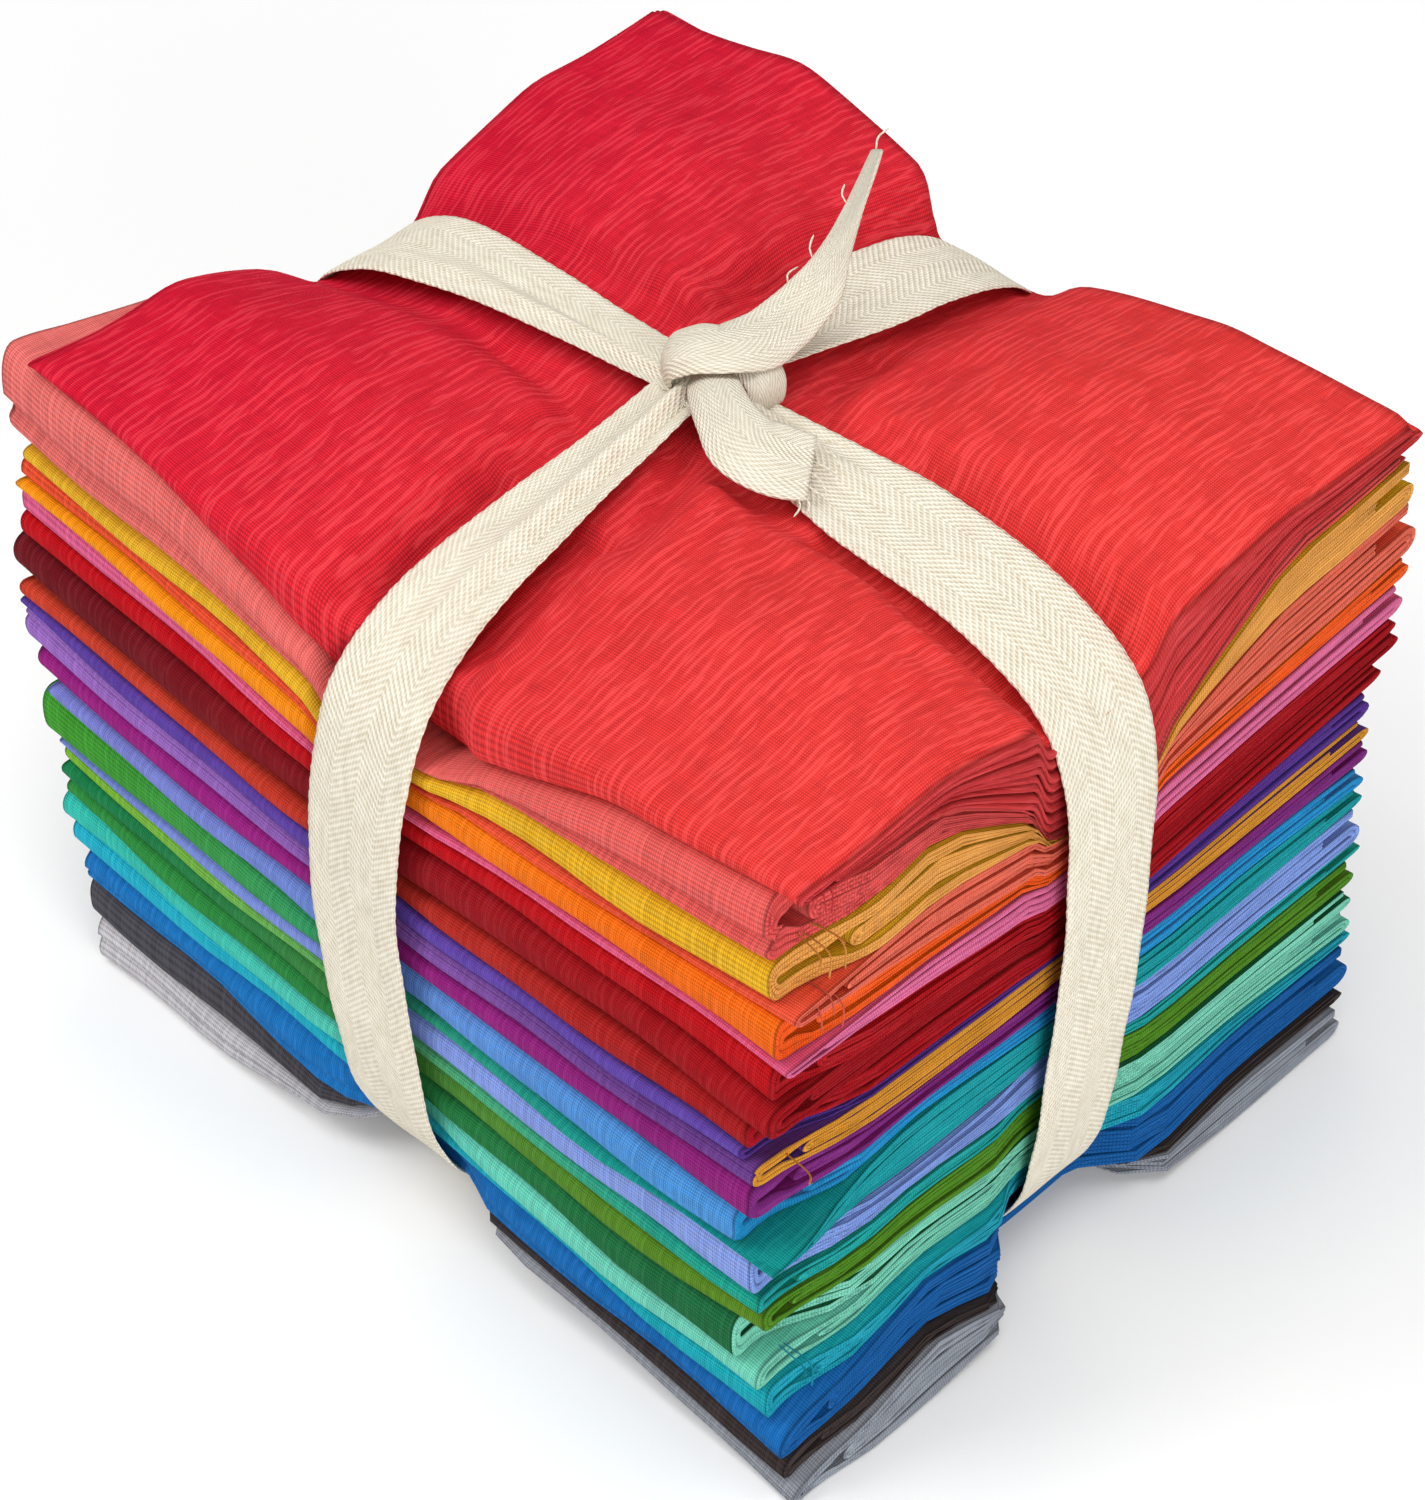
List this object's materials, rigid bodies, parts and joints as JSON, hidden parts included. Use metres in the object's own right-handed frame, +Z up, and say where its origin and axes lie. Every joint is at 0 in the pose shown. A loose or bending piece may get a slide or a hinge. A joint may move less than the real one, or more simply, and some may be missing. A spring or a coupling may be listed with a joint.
{
  "type": "fat quarter bundle",
  "caption": "Stack of fat quarters of dyed quilting cotton, each folded to a flat packet, tied both ways round with natural twill tape and knotted on top.",
  "frame": {"origin": "middle of the bundle's box, at the height of the surface it rests on", "axes": "+Z up; +X along the packets' width, towards the side where the layers' folded edges show as ridges; -Y towards the side with one round fold a packet"},
  "size_m": [0.1564, 0.1342, 0.1444],
  "materials": {
    "cotton_crimson": "matte",
    "cotton_salmon": "matte",
    "cotton_yellow": "matte",
    "cotton_red_orange": "matte",
    "cotton_amber": "matte",
    "cotton_pink": "matte",
    "cotton_red": "matte",
    "cotton_maroon": "matte",
    "cotton_brick": "matte",
    "cotton_blue_violet": "matte",
    "cotton_lilac": "matte",
    "cotton_magenta": "matte",
    "cotton_sky_blue": "matte",
    "cotton_green_teal": "matte",
    "cotton_periwinkle": "matte",
    "cotton_lime_teal": "matte",
    "cotton_olive": "matte",
    "cotton_dark_green": "matte",
    "cotton_mint": "matte",
    "cotton_teal": "matte",
    "cotton_blue": "matte",
    "cotton_charcoal": "matte",
    "cotton_grey": "matte",
    "twill_tape": "matte"
  },
  "bodies": {
    "root": {"fat_quarter_01_crimson": "cotton_crimson", "fat_quarter_02_salmon": "cotton_salmon", "fat_quarter_03_yellow": "cotton_yellow", "fat_quarter_04_red_orange": "cotton_red_orange", "fat_quarter_05_amber": "cotton_amber", "fat_quarter_06_pink": "cotton_pink", "fat_quarter_07_red": "cotton_red", "fat_quarter_08_maroon": "cotton_maroon", "fat_quarter_09_brick": "cotton_brick", "fat_quarter_10_blue_violet": "cotton_blue_violet", "fat_quarter_11_lilac": "cotton_lilac", "fat_quarter_12_magenta": "cotton_magenta", "fat_quarter_13_sky_blue": "cotton_sky_blue", "fat_quarter_14_green_teal": "cotton_green_teal", "fat_quarter_15_periwinkle": "cotton_periwinkle", "fat_quarter_16_lime_teal": "cotton_lime_teal", "fat_quarter_17_olive": "cotton_olive", "fat_quarter_18_dark_green": "cotton_dark_green", "fat_quarter_19_mint": "cotton_mint", "fat_quarter_20_teal": "cotton_teal", "fat_quarter_21_blue": "cotton_blue", "fat_quarter_22_charcoal": "cotton_charcoal", "fat_quarter_23_grey": "cotton_grey", "twill_tape": "twill_tape"}
  },
  "joints": []
}
